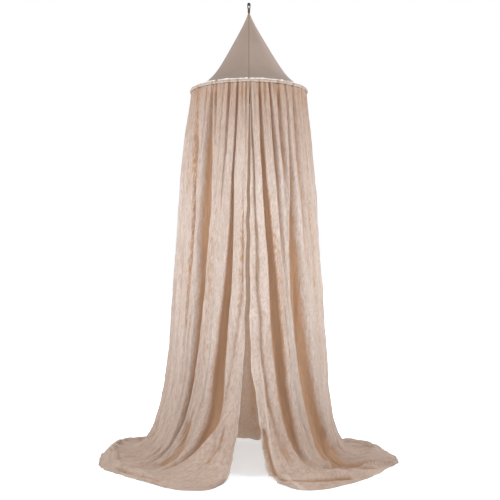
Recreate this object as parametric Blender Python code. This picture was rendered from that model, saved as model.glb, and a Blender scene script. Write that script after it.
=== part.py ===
"""Bed canopy: a muslin curtain gathered round a hoop, under a fitted cone that hangs by a loop from a peg.

Metres, +Z up. The origin is on the peg's axis, straight above the middle of the hoop. The front, where the
curtain parts, faces -Y. A turn is an angle in degrees round the hoop, from the front and by the left side.
"""

import math
from collections import namedtuple

import bmesh
import bpy
import numpy as np

# Heights above the floor
PEG_HEIGHT = 1.932
CONE_TIP_HEIGHT = 1.892
HOOP_HEIGHT = 1.560
FLOOR_Z = -PEG_HEIGHT
CONE_TIP_Z = FLOOR_Z + CONE_TIP_HEIGHT
HOOP_Z = FLOOR_Z + HOOP_HEIGHT

CLEARANCE = 0.0003  # between pieces that touch
SHARP_ANGLE = math.radians(40)  # edges sharper than this aren't shaded smooth

# Peg
PEG_RADIUS = 0.0034
PEG_LENGTH = 0.026
PEG_CHAMFER = 0.0006
PEG_SIDES = 16

# Hanging loop: a doubled tape, from its top over the peg down to its stitched end in the cone's tip
TAPE_DEPTH = 0.0056
LOOP_SECTION_SIDES = 8
LoopRow = namedtuple("LoopRow", "drop half_width tape")
LOOP = (
    LoopRow(drop=-0.0058, half_width=0.0000, tape=0.0036),
    LoopRow(drop=-0.0042, half_width=0.0041, tape=0.0036),
    LoopRow(drop=0.0002, half_width=0.0058, tape=0.0036),
    LoopRow(drop=0.0065, half_width=0.0060, tape=0.0037),
    LoopRow(drop=0.0125, half_width=0.0048, tape=0.0040),
    LoopRow(drop=0.0180, half_width=0.0030, tape=0.0044),
    LoopRow(drop=0.0260, half_width=0.0028, tape=0.0044),
    LoopRow(drop=0.0340, half_width=0.0026, tape=0.0040),
    LoopRow(drop=0.0400, half_width=0.0018, tape=0.0024),
    LoopRow(drop=0.0470, half_width=0.0017, tape=0.0024),
    LoopRow(drop=0.0500, half_width=0.0000, tape=0.0024),
)

# Hoop, and the casing sewn round it
HOOP_RADIUS = 0.243
ROD_RADIUS = 0.0025
ROD_SIDES = 6
CASING_INNER = 0.0045
CASING_THICKNESS = 0.0015
CASING_OUTER = CASING_INNER + CASING_THICKNESS
CASING_SLIT_FROM, CASING_SLIT_TO = 205, 265  # degrees round the section, from outwards and by the top
CASING_SIDES = 9
CASING_PUCKERS = 90
CASING_PUCKER_DEPTH = 0.0004
RING_STEPS = 60

# Frill: the gathered edge that stands up between the casing and the cone
FRILL_RADIUS = 0.2432
FRILL_BASE = CASING_OUTER + 0.0006
FRILL_HEIGHT = 0.0055
FRILL_THICKNESS = 0.0014
FRILL_WAVE = 0.0010  # sideways, and up and down along the top
FRILL_WAVES = 40
FRILL_TOP_WAVES = 7

# Cone of four gores, hollowed between its tip and the hoop
GORES = ("cone_gore_front_left", "cone_gore_back_left", "cone_gore_back_right", "cone_gore_front_right")
CONE_THICKNESS = 0.0015
CONE_TIP_RADIUS = 0.0050
CONE_BASE_RADIUS = 0.2408
CONE_BASE_HEIGHT = CASING_OUTER + 0.0014
CONE_STRAIGHT = 0.775  # the straight flank's share of the base radius: the rest is in the flare at the hoop
CONE_LEAN = 0.03  # how much of that share the left flank lacks and the right one gains
CONE_FLARE = 8
CONE_SECTION_POWER = 1.55  # 2 is round and 1 is square, with its corners on the seams
CONE_ROWS = (0.0, 0.04, 0.09, 0.16, 0.26, 0.40, 0.58, 0.78, 1.0)
CONE_COLUMNS = 8

# Curtain
CLOTH_THICKNESS = 0.0020
CURTAIN_TOP = CASING_OUTER + 0.0010
GATHER_RADIUS = 0.2425
BELLY_STEP = 0.42  # where the gathers have swollen out to their whole belly

# Fall lines, round the hoop: a row for each, and the cloth passes smoothly from one to the next.
# foot: where the straight wall would meet the floor. bend: how high the wall begins to turn outwards.
# sweep: how far past the foot the turn ends. lift: height of the roll of cloth on the floor.
# belly: how far the gathers swell out below the casing.
Fall = namedtuple("Fall", "turn foot_x foot_y hem_x hem_y bend sweep lift belly")
FALLS = (
    Fall(-0.4, -0.032, -0.310, -0.095, -0.455, 0.50, 0.12, 0.004, 0.005),
    Fall(2.5, -0.055, -0.315, -0.155, -0.565, 0.50, 0.19, 0.008, 0.005),
    Fall(5.5, -0.085, -0.318, -0.272, -0.553, 0.50, 0.24, 0.014, 0.006),
    Fall(10.7, -0.133, -0.310, -0.412, -0.398, 0.50, 0.24, 0.020, 0.008),
    Fall(18.3, -0.178, -0.295, -0.516, -0.275, 0.50, 0.26, 0.022, 0.010),
    Fall(36.2, -0.245, -0.250, -0.596, -0.160, 0.50, 0.26, 0.028, 0.012),
    Fall(57.0, -0.304, -0.175, -0.628, -0.030, 0.52, 0.26, 0.040, 0.017),
    Fall(90.0, -0.352, 0.030, -0.638, 0.190, 0.62, 0.24, 0.046, 0.022),
    Fall(130.0, -0.285, 0.255, -0.545, 0.430, 0.45, 0.20, 0.040, 0.018),
    Fall(180.0, 0.000, 0.420, 0.000, 0.640, 0.26, 0.14, 0.020, 0.014),
    Fall(230.0, 0.285, 0.250, 0.520, 0.395, 0.30, 0.14, 0.036, 0.014),
    Fall(270.0, 0.350, 0.030, 0.625, 0.140, 0.38, 0.18, 0.044, 0.014),
    Fall(300.0, 0.318, -0.150, 0.628, -0.035, 0.36, 0.15, 0.032, 0.013),
    Fall(316.0, 0.296, -0.215, 0.600, -0.110, 0.42, 0.18, 0.028, 0.012),
    Fall(323.0, 0.250, -0.255, 0.553, -0.180, 0.46, 0.20, 0.026, 0.010),
    Fall(340.0, 0.198, -0.295, 0.462, -0.345, 0.48, 0.18, 0.026, 0.008),
    Fall(350.6, 0.150, -0.312, 0.372, -0.452, 0.50, 0.14, 0.026, 0.006),
    Fall(355.0, 0.100, -0.320, 0.280, -0.541, 0.50, 0.12, 0.026, 0.005),
    Fall(357.5, 0.066, -0.320, 0.185, -0.556, 0.50, 0.10, 0.022, 0.005),
    Fall(359.3, 0.038, -0.310, 0.115, -0.470, 0.50, 0.09, 0.014, 0.005),
)
ROLL_FROM, ROLL_TO = 1.4, 3.0  # steps between which the cloth on the floor rises to its lift and comes down

# The two front edges hang closer together than straight falls would: how far each is moved along X
EDGE_REACH = 9.0  # degrees round the hoop in which this fades
EdgeRow = namedtuple("EdgeRow", "step left right")
EDGE_ROWS = (
    EdgeRow(0.00, 0.000, 0.000),
    EdgeRow(0.25, 0.000, -0.002),
    EdgeRow(0.65, 0.001, -0.014),
    EdgeRow(0.95, 0.003, -0.022),
    EdgeRow(1.10, 0.002, -0.018),
    EdgeRow(1.20, 0.002, -0.004),
    EdgeRow(1.30, 0.004, 0.001),
    EdgeRow(1.60, 0.003, 0.001),
    EdgeRow(2.00, 0.000, 0.000),
)

# Valleys between the folds. steep and slack: turns of a valley's two sides at these steps down the cloth, and
# the steep one is nearer the front. depths: how deep it is there.
VALLEY_STEPS = (0.05, 0.25, 0.50, 0.80, 1.10, 1.45)
DEPTH_STEPS = (0.0, *VALLEY_STEPS, 1.9, 2.6)
DEPTH_AT_CASING, DEPTH_ON_FLOOR = 0.4, 0.6  # shares of the first and of the last depth, at steps 0 and 1.9
Valley = namedtuple("Valley", "steep slack depths")
LEFT_VALLEYS = (
    Valley(
        steep=(4.6, 3.4, 2.2, 1.8, 4.7, 7.0),
        slack=(5.6, 4.6, 3.8, 4.0, 6.5, 8.6),
        depths=(0.004, 0.003, 0.006, 0.011, 0.010, 0.008),
    ),
    Valley(
        steep=(9.5, 8.9, 8.5, 8.0, 9.3, 10.6),
        slack=(11.6, 10.9, 10.7, 12.8, 14.6, 14.0),
        depths=(0.010, 0.018, 0.026, 0.038, 0.044, 0.034),
    ),
    Valley(
        steep=(17.3, 17.2, 17.2, 17.6, 18.5, 19.0),
        slack=(20.2, 19.4, 19.0, 19.4, 20.5, 21.5),
        depths=(0.012, 0.012, 0.003, 0.002, 0.003, 0.006),
    ),
    Valley(
        steep=(35.8, 32.0, 28.9, 29.4, 33.4, 35.4),
        slack=(38.2, 40.4, 40.0, 36.9, 37.4, 38.4),
        depths=(0.014, 0.036, 0.044, 0.040, 0.034, 0.030),
    ),
    Valley(
        steep=(56.2, 47.4, 46.0, 46.8, 48.0, 50.0),
        slack=(60.4, 54.0, 49.0, 49.8, 51.0, 55.0),
        depths=(0.006, 0.013, 0.011, 0.007, 0.006, 0.010),
    ),
    Valley(
        steep=(65.5, 62.0, 59.0, 59.0, 59.0, 60.0),
        slack=(68.0, 65.0, 64.0, 64.0, 64.0, 66.0),
        depths=(0.008, 0.010, 0.014, 0.014, 0.014, 0.014),
    ),
    Valley(
        steep=(73.0, 72.0, 71.0, 71.0, 71.0, 72.0),
        slack=(77.0, 77.5, 77.0, 77.0, 78.0, 78.0),
        depths=(0.010, 0.016, 0.020, 0.022, 0.022, 0.020),
    ),
)
RIGHT_VALLEYS = (
    Valley(
        steep=(283.0, 283.0, 281.0, 280.0, 280.0, 281.0),
        slack=(279.0, 278.0, 275.0, 274.0, 274.0, 275.0),
        depths=(0.010, 0.016, 0.020, 0.020, 0.020, 0.018),
    ),
    Valley(
        steep=(291.0, 291.0, 290.0, 289.0, 289.0, 291.0),
        slack=(288.0, 287.0, 286.0, 285.0, 285.0, 287.0),
        depths=(0.009, 0.012, 0.014, 0.014, 0.014, 0.012),
    ),
    Valley(
        steep=(299.0, 302.0, 301.0, 298.0, 298.0, 300.0),
        slack=(296.4, 300.0, 298.0, 295.0, 294.0, 296.0),
        depths=(0.010, 0.010, 0.005, 0.006, 0.008, 0.010),
    ),
    Valley(
        steep=(314.9, 317.6, 316.8, 316.0, 314.0, 312.0),
        slack=(311.7, 312.2, 312.4, 311.0, 309.0, 307.0),
        depths=(0.014, 0.022, 0.016, 0.003, 0.003, 0.004),
    ),
    Valley(
        steep=(323.6, 325.1, 328.0, 332.2, 331.0, 328.2),
        slack=(321.2, 321.8, 322.4, 321.6, 319.0, 316.0),
        depths=(0.010, 0.018, 0.036, 0.050, 0.055, 0.050),
    ),
    Valley(
        steep=(333.2, 333.8, 333.8, 337.0, 336.6, 334.6),
        slack=(330.4, 330.4, 331.6, 335.0, 334.2, 332.4),
        depths=(0.014, 0.020, 0.004, 0.002, 0.003, 0.004),
    ),
    Valley(
        steep=(341.2, 342.0, 341.6, 341.0, 340.4, 339.0),
        slack=(339.2, 338.2, 338.4, 339.0, 338.0, 336.6),
        depths=(0.014, 0.022, 0.016, 0.003, 0.003, 0.008),
    ),
    Valley(
        steep=(351.5, 352.4, 352.4, 352.0, 351.4, 349.8),
        slack=(349.3, 349.6, 348.8, 346.8, 345.6, 345.0),
        depths=(0.014, 0.028, 0.032, 0.038, 0.042, 0.032),
    ),
    Valley(
        steep=(357.8, 357.6, 357.3, 357.2, 356.4, 355.0),
        slack=(355.8, 355.6, 355.2, 355.0, 354.2, 352.8),
        depths=(0.009, 0.014, 0.018, 0.020, 0.016, 0.012),
    ),
)

# The back's valleys are alike but uneven, by waves over their count. drift: how far a wave runs on from one
# step to the next.
BACK_VALLEYS = 15
BACK_DEPTHS = (0.012, 0.026, 0.032, 0.034, 0.034, 0.028)
BACK_WIDTH = 5.5  # degrees
BACK_MARGIN = 7.5  # degrees from the last valleys of the front
Wave = namedtuple("Wave", "height beat drift")
BACK_SPACING = Wave(height=0.20, beat=1.9, drift=0)  # share of the distance between valleys
BACK_SWAY = Wave(height=1.0, beat=2.7, drift=1.1)  # degrees
BACK_WIDENING = Wave(height=0.25, beat=1.3, drift=1)
BACK_DEEPENING = Wave(height=0.40, beat=2.3, drift=0)

# Columns of the grid: two at a valley's rims, two at the ends of its bottom, and more on wide ridges
STEEP_REACH = 0.8  # degrees from the steep side's turn to its rim
STEEP_SHARE = 0.2  # share of the valley's width from there to its bottom
SLACK_SHARE = 0.3  # the same from the slack side's turn, both ways
LEAST_RIDGE = 1.3  # degrees
RIDGE_COLUMN_EVERY = 8  # degrees

# Rows of the grid, by step: 0 to 1 down the straight wall, 1 to 2 round the turn, 2 to 3 over the floor
CURTAIN_STEPS = (
    *(0.0, 0.03, 0.10, 0.24, 0.38, 0.52, 0.66, 0.80, 0.92),
    *(1.05, 1.18, 1.31, 1.44, 1.58, 1.74, 1.92),
    *(2.12, 2.34, 2.56, 2.78, 3.0),
)
WALL_END, TURN_END = 1, 2

# Colours: linear base colour, roughness, metallic
MUSLIN = ((0.56, 0.40, 0.31), 0.9, 0.0)
CONE_CLOTH = ((0.40, 0.30, 0.25), 0.9, 0.0)
TRIM = ((0.66, 0.53, 0.45), 0.9, 0.0)
TAPE_BROWN = ((0.12, 0.07, 0.05), 0.85, 0.0)
ROD_STEEL = ((0.55, 0.55, 0.56), 0.35, 1.0)
PEG_STEEL = ((0.02, 0.02, 0.02), 0.5, 1.0)


def clear_scene():
    for thing in list(bpy.data.objects):
        bpy.data.objects.remove(thing, do_unlink=True)


def material(name, look):
    colour, roughness, metallic = look
    made = bpy.data.materials.new(name)
    made.use_nodes = True
    shader = made.node_tree.nodes["Principled BSDF"]
    shader.inputs["Base Color"].default_value = (*colour, 1)
    shader.inputs["Roughness"].default_value = roughness
    shader.inputs["Metallic"].default_value = metallic
    made.diffuse_color = (*colour, 1)
    return made


def add_body(name, points, faces, look):
    """Makes a node's object from points and faces, with its faces turned outwards."""
    mesh = bpy.data.meshes.new(name)
    mesh.from_pydata([tuple(point) for point in points], [], faces)
    body = bmesh.new()
    body.from_mesh(mesh)
    bmesh.ops.recalc_face_normals(body, faces=body.faces)
    body.to_mesh(mesh)
    body.free()
    mesh.shade_smooth()
    mesh.set_sharp_from_angle(angle=SHARP_ANGLE)
    mesh.materials.append(material(name, look))
    bpy.context.scene.collection.objects.link(bpy.data.objects.new(name, mesh))


def grid_faces(rows, columns, start=0, close_rows=False, close_columns=False):
    """Quads over a grid of points that is stored row by row."""
    faces = []
    for row in range(rows if close_rows else rows - 1):
        below = (row + 1) % rows
        for column in range(columns if close_columns else columns - 1):
            beside = (column + 1) % columns
            corners = ((row, column), (row, beside), (below, beside), (below, column))
            faces.append([start + r * columns + c for r, c in corners])
    return faces


def add_sheet(name, outer, inner, look):
    """A closed sheet between its outer and inner grids of points, each rows by columns by 3."""
    rows, columns, _ = outer.shape
    count = rows * columns
    faces = grid_faces(rows, columns) + [face[::-1] for face in grid_faces(rows, columns, start=count)]
    rim = [(0, c) for c in range(columns)]
    rim += [(r, columns - 1) for r in range(1, rows)]
    rim += [(rows - 1, c) for c in range(columns - 2, -1, -1)]
    rim += [(r, 0) for r in range(rows - 2, 0, -1)]
    ring = [r * columns + c for r, c in rim]
    for here, there in zip(ring, ring[1:] + ring[:1]):
        faces.append([there, here, here + count, there + count])
    points = np.concatenate([outer.reshape(-1, 3), inner.reshape(-1, 3)])
    add_body(name, points, faces, look)


def add_ring(name, sections, look):
    """A closed ring through equal closed sections, given as sections by points by 3."""
    count, around, _ = sections.shape
    faces = grid_faces(count, around, close_rows=True, close_columns=True)
    add_body(name, sections.reshape(-1, 3), faces, look)


def sheet_normals(points):
    """Unit normals of a grid of points, outwards where its rows run down and its columns by the left side."""
    across = np.gradient(points, axis=1)
    down = np.gradient(points, axis=0)
    normals = np.cross(across, down)
    return normals / np.linalg.norm(normals, axis=2, keepdims=True)


def round_the_hoop(turns, radius, height):
    """Points on a circle, or on one radius and height for each turn."""
    angles = np.radians(turns)
    x = -radius * np.sin(angles)
    y = -radius * np.cos(angles)
    return np.stack([x, y, height + np.zeros_like(x)], axis=-1)


def add_peg():
    """Round pin along Y, with chamfered flat ends."""
    half = PEG_LENGTH / 2
    places = np.array([-half, PEG_CHAMFER - half, half - PEG_CHAMFER, half])[:, None]
    radii = np.array([PEG_RADIUS - PEG_CHAMFER, PEG_RADIUS, PEG_RADIUS, PEG_RADIUS - PEG_CHAMFER])[:, None]
    angles = np.radians(np.linspace(0, 360, PEG_SIDES, endpoint=False))[None]
    rings = np.stack([radii * np.cos(angles), places + 0 * angles, radii * np.sin(angles)], axis=2)
    faces = grid_faces(len(places), PEG_SIDES, close_columns=True)
    faces.append(list(range(PEG_SIDES)))
    faces.append(list(range((len(places) - 1) * PEG_SIDES, len(places) * PEG_SIDES)))
    add_body("peg", rings.reshape(-1, 3), faces, PEG_STEEL)


def add_loop():
    """The doubled tape: one closed band, down its right side and up its left."""
    right = [(row.half_width, -row.drop, row.tape) for row in LOOP]
    left = [(-x, z, tape) for x, z, tape in right[-2:0:-1]]
    path = np.array(right + left)
    places = path[:, :2]
    ahead = np.roll(places, -1, axis=0) - np.roll(places, 1, axis=0)
    ahead /= np.linalg.norm(ahead, axis=1, keepdims=True)
    outwards = np.stack([-ahead[:, 1], ahead[:, 0]], axis=1)
    angles = np.radians(360 / LOOP_SECTION_SIDES) * (np.arange(LOOP_SECTION_SIDES) + 0.5)
    sections = np.zeros((len(path), LOOP_SECTION_SIDES, 3))
    for side, angle in enumerate(angles):
        reach = 0.5 * path[:, 2:3] * math.cos(angle)
        sections[:, side, 0::2] = places + outwards * reach
        sections[:, side, 1] = 0.5 * TAPE_DEPTH * math.sin(angle)
    add_ring("hanging_loop", sections, TAPE_BROWN)


def add_cone():
    """Four gores with their seams to the front, back and sides, each a sheet hollowed towards the hoop."""
    rows = np.array(CONE_ROWS)
    base_z = HOOP_Z + CONE_BASE_HEIGHT
    heights = base_z + (CONE_TIP_Z - base_z) * rows
    spread = 1 - rows
    powers = CONE_SECTION_POWER + (2 - CONE_SECTION_POWER) * spread**CONE_FLARE
    for quarter, name in enumerate(GORES):
        turns = np.linspace(90 * quarter, 90 * quarter + 90, CONE_COLUMNS)
        angles = np.radians(turns)
        across, along = abs(np.sin(angles))[None], abs(np.cos(angles))[None]
        straight = CONE_STRAIGHT - CONE_LEAN * np.sin(angles)[None]
        share = spread[:, None] * (straight + (1 - straight) * spread[:, None] ** CONE_FLARE)
        radii = CONE_TIP_RADIUS + (CONE_BASE_RADIUS - CONE_TIP_RADIUS) * share
        power = powers[:, None]
        section = radii / (across**power + along**power) ** (1 / power)
        outer = round_the_hoop(turns[None], section, heights[:, None])
        inner = round_the_hoop(turns[None], section - CONE_THICKNESS, heights[:, None])
        middle = math.radians(90 * quarter + 45)
        towards_x, towards_y = -math.copysign(1, math.sin(middle)), -math.copysign(1, math.cos(middle))
        apart = CLEARANCE / 2 * np.array([towards_x, towards_y, 0])
        add_sheet(name, outer + apart, inner + apart, CONE_CLOTH)


def add_hoop():
    turns = np.linspace(0, 360, RING_STEPS, endpoint=False)
    angles = np.radians(np.linspace(0, 360, ROD_SIDES, endpoint=False))
    radii = HOOP_RADIUS + ROD_RADIUS * np.cos(angles)
    heights = HOOP_Z + ROD_RADIUS * np.sin(angles)
    add_ring("hoop", round_the_hoop(turns[:, None], radii[None], heights[None]), ROD_STEEL)


def add_casing():
    """Channel round the hoop's rod, slit open below on its inner side."""
    turns = np.linspace(0, 360, RING_STEPS, endpoint=False)
    outer = np.radians(np.linspace(CASING_SLIT_TO - 360, CASING_SLIT_FROM, CASING_SIDES))
    inner = outer[::-1]
    angles = np.concatenate([outer, inner])
    reach = np.concatenate([np.full(len(outer), CASING_OUTER), np.full(len(inner), CASING_INNER)])
    puckers = CASING_PUCKER_DEPTH * np.sin(np.radians(turns * CASING_PUCKERS))[:, None]
    radii = HOOP_RADIUS + (reach[None] - puckers) * np.cos(angles)
    heights = HOOP_Z + (reach[None] - puckers) * np.sin(angles)
    add_ring("hoop_casing", round_the_hoop(turns[:, None], radii, heights), TRIM)


def add_frill():
    """Narrow upright band, waved a little in and out, and uneven along its top."""
    turns = np.linspace(0, 360, 2 * FRILL_WAVES, endpoint=False)
    wave = FRILL_WAVE * np.sin(np.radians(turns * FRILL_WAVES / 2))
    top = FRILL_BASE + FRILL_HEIGHT + FRILL_WAVE * np.sin(np.radians(turns * FRILL_TOP_WAVES))
    low_in = round_the_hoop(turns, FRILL_RADIUS - FRILL_THICKNESS / 2, HOOP_Z + FRILL_BASE)
    low_out = round_the_hoop(turns, FRILL_RADIUS + FRILL_THICKNESS / 2, HOOP_Z + FRILL_BASE)
    top_out = round_the_hoop(turns, FRILL_RADIUS + FRILL_THICKNESS / 2 + wave, HOOP_Z + top)
    top_in = round_the_hoop(turns, FRILL_RADIUS - FRILL_THICKNESS / 2 + wave, HOOP_Z + top)
    add_ring("heading_frill", np.stack([low_in, low_out, top_out, top_in], axis=1), TRIM)


def between_falls(turns, column):
    """A column of FALLS at each turn, on a smooth curve through the rows."""
    values = np.array([getattr(fall, column) for fall in FALLS])
    place = np.interp(turns, [fall.turn for fall in FALLS], np.arange(len(FALLS)))
    row = np.clip(place.astype(int), 0, len(FALLS) - 2)
    part = place - row
    slopes = np.gradient(values)
    start, end = values[row], values[row + 1]
    rise = end - start
    ease = part * part * (3 - 2 * part)
    lean = part * (1 - part) * ((1 - part) * slopes[row] - part * slopes[row + 1])
    return start + rise * ease + lean


def cloth_without_folds(turns, down):
    """Points of the cloth before its folds, at turns and steps that are grids of one shape."""
    gathered = round_the_hoop(turns, GATHER_RADIUS, HOOP_Z - CURTAIN_TOP)
    ground = FLOOR_Z + CLOTH_THICKNESS + np.zeros_like(turns)
    foot = np.stack([between_falls(turns, "foot_x"), between_falls(turns, "foot_y"), ground], axis=-1)
    hem = np.stack([between_falls(turns, "hem_x"), between_falls(turns, "hem_y"), ground], axis=-1)
    bend = between_falls(turns, "bend")[..., None]
    sweep = between_falls(turns, "sweep")[..., None]
    wall_end = foot + (gathered - foot) * bend / (gathered[..., 2:] - foot[..., 2:])
    floor_start = foot + (hem - foot) * sweep / np.linalg.norm(hem - foot, axis=-1, keepdims=True)
    wall = np.clip(down, 0, 1)[..., None]
    turn = np.clip(down - WALL_END, 0, 1)[..., None]
    floor = np.clip(down - TURN_END, 0, 1)[..., None]
    points = (1 - turn) ** 2 * wall_end + 2 * turn * (1 - turn) * foot + turn**2 * floor_start
    points = points + (1 - wall) * (gathered - wall_end) + floor * (hem - floor_start)
    belly = between_falls(turns, "belly") * np.sin(np.pi / 2 * np.clip(down / BELLY_STEP, 0, 1))
    outwards = gathered * (1, 1, 0) / GATHER_RADIUS
    points = points + belly[..., None] * (1 - turn) * outwards
    roll = np.sin(np.pi * np.clip((down - ROLL_FROM) / (ROLL_TO - ROLL_FROM), 0, 1)) ** 2
    points[..., 2] += between_falls(turns, "lift") * roll
    steps = [row.step for row in EDGE_ROWS]
    near_left = np.clip(1 - (turns - FALLS[0].turn) / EDGE_REACH, 0, 1) ** 2
    near_right = np.clip(1 - (FALLS[-1].turn - turns) / EDGE_REACH, 0, 1) ** 2
    points[..., 0] += near_left * np.interp(down, steps, [row.left for row in EDGE_ROWS])
    points[..., 0] += near_right * np.interp(down, steps, [row.right for row in EDGE_ROWS])
    return points


def along(wave, count, stations=0):
    return wave.height * np.sin(wave.beat * count + wave.drift * stations)


def back_valley(count):
    """One of the back's valleys, a little unlike the next, with its steep side nearer the front."""
    first = max(LEFT_VALLEYS[-1].slack) + BACK_MARGIN
    last = min(RIGHT_VALLEYS[0].slack) - BACK_MARGIN
    place = first + (last - first) * (count + along(BACK_SPACING, count)) / (BACK_VALLEYS - 1)
    stations = np.arange(len(VALLEY_STEPS))
    middle = place + along(BACK_SWAY, count, stations)
    half = BACK_WIDTH / 2 * (1 + along(BACK_WIDENING, count, stations))
    towards_back = half if place < 180 else -half
    depths = np.array(BACK_DEPTHS) * (1 + along(BACK_DEEPENING, count))
    return Valley(middle - towards_back, middle + towards_back, depths)


def fold_columns(valleys):
    """Columns of the grid: for each its turns at VALLEY_STEPS, its valley, and its share of the depth.

    The rims draw back where two valleys meet, so that a ridge is left between them.
    """
    steep = np.array([valley.steep for valley in valleys])
    slack = np.array([valley.slack for valley in valleys])
    width = slack - steep
    ends = (steep - np.sign(width) * STEEP_REACH, steep + width * STEEP_SHARE)
    ends += (slack - width * SLACK_SHARE, slack + width * SLACK_SHARE)
    rims_and_bottoms = np.sort(np.stack(ends, axis=1), axis=1)
    low_rims, high_rims = rims_and_bottoms[:, 0], rims_and_bottoms[:, 3]
    left_edge, right_edge = np.full_like(steep[:1], FALLS[0].turn), np.full_like(steep[:1], FALLS[-1].turn)
    before = np.concatenate([left_edge, high_rims[:-1]])
    after = np.concatenate([low_rims[1:], right_edge])
    low_rims[:] = np.maximum(low_rims, (low_rims + before + LEAST_RIDGE) / 2)
    high_rims[:] = np.minimum(high_rims, (high_rims + after - LEAST_RIDGE) / 2)
    low_rims[0] = np.maximum(low_rims[0], left_edge + LEAST_RIDGE)
    high_rims[-1] = np.minimum(high_rims[-1], right_edge - LEAST_RIDGE)
    columns = [(left_edge[0], 0, 0)]
    for count, knots in enumerate(rims_and_bottoms):
        ridge = knots[0] - columns[-1][0]
        extra = int(np.mean(ridge) / RIDGE_COLUMN_EVERY)
        start = columns[-1][0]
        columns += [(start + ridge * (n + 1) / (extra + 1), count, 0) for n in range(extra)]
        columns += [(turns, count, share) for turns, share in zip(knots, (0, 1, 1, 0))]
    return [*columns, (right_edge[0], 0, 0)]


def add_curtain():
    """One gathered sheet, all the way round from its left front edge to its right one."""
    valleys = [*LEFT_VALLEYS, *(back_valley(count) for count in range(BACK_VALLEYS)), *RIGHT_VALLEYS]
    steps = np.array(CURTAIN_STEPS)
    turns, depth = [], []
    for places, count, share in fold_columns(valleys):
        depths = valleys[count].depths
        shares = (DEPTH_AT_CASING * depths[0], *depths, DEPTH_ON_FLOOR * depths[-1], 0)
        turns.append(np.interp(steps, VALLEY_STEPS, places))
        depth.append(share * np.interp(steps, DEPTH_STEPS, shares))
    turns, depth = np.array(turns).T, np.array(depth).T
    smooth = cloth_without_folds(turns, np.broadcast_to(steps[:, None], turns.shape))
    outer = smooth - sheet_normals(smooth) * depth[..., None]
    outer[..., 2] = np.maximum(outer[..., 2], FLOOR_Z + CLOTH_THICKNESS)
    inner = outer - sheet_normals(outer) * CLOTH_THICKNESS
    inner[..., 2] = np.maximum(inner[..., 2], FLOOR_Z)
    add_sheet("curtain", outer, inner, MUSLIN)


clear_scene()
add_peg()
add_loop()
add_cone()
add_hoop()
add_casing()
add_frill()
add_curtain()
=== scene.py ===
"""Looks of the bed canopy: crinkled muslin in gathered folds, its smooth cone, casing, frill, loop and peg.

Metres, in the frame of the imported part: +Z up, the front faces -Y, and the origin is on the peg's axis. A
turn is an angle in degrees round the hoop, from the front and by the left side. A step goes down the cloth:
0 to 1 down the straight wall, 1 to 2 round the turn at the floor, and 2 to 3 over the floor to the hem.
"""

import math
from collections import namedtuple

import bpy
import numpy as np
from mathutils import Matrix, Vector


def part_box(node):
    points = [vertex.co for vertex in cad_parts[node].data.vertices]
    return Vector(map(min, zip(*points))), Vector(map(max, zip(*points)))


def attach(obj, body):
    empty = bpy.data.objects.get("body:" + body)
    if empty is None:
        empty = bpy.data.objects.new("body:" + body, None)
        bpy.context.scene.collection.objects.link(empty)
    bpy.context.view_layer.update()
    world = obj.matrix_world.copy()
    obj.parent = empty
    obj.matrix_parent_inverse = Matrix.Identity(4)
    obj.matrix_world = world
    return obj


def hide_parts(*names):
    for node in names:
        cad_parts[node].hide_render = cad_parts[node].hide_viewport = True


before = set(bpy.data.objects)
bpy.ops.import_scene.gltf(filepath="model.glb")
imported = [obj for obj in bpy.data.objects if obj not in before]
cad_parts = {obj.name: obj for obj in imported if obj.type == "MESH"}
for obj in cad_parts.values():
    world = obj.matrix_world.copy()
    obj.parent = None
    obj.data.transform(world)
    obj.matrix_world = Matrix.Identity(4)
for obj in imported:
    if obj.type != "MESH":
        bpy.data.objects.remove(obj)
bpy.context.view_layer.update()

# Camera: the photograph's own, level, with its horizon a little below the middle of the picture
PHOTO_PIXELS = 500
FOCAL_PIXELS = 944
AXIS_PIXEL = 248.9  # column of the peg's axis
HORIZON_PIXEL = 280  # row
CAMERA_DISTANCE = 4.0  # from the peg's axis
CAMERA_HEIGHT = 0.765  # above the floor
SENSOR_WIDTH = 36  # mm

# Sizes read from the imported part
FLOOR_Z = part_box("curtain")[0][2]
HOOP_LOW, HOOP_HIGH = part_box("hoop")
HOOP_Z = (HOOP_LOW[2] + HOOP_HIGH[2]) / 2
ROD_RADIUS = (HOOP_HIGH[2] - HOOP_LOW[2]) / 2
HOOP_RADIUS = (HOOP_HIGH[0] - HOOP_LOW[0]) / 2 - ROD_RADIUS
CASING_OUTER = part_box("hoop_casing")[1][2] - HOOP_Z
CONE_TIP_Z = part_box("cone_gore_front_left")[1][2]

# Curtain
CLOTH_THICKNESS = 0.0020
CLOTH_WIDTH, CLOTH_LENGTH = 3.6, 1.85  # flat
CURTAIN_TOP = CASING_OUTER + 0.0010
GATHER_RADIUS = 0.2425
BELLY_STEP = 0.42  # where the gathers have swollen out to their whole belly

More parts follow.
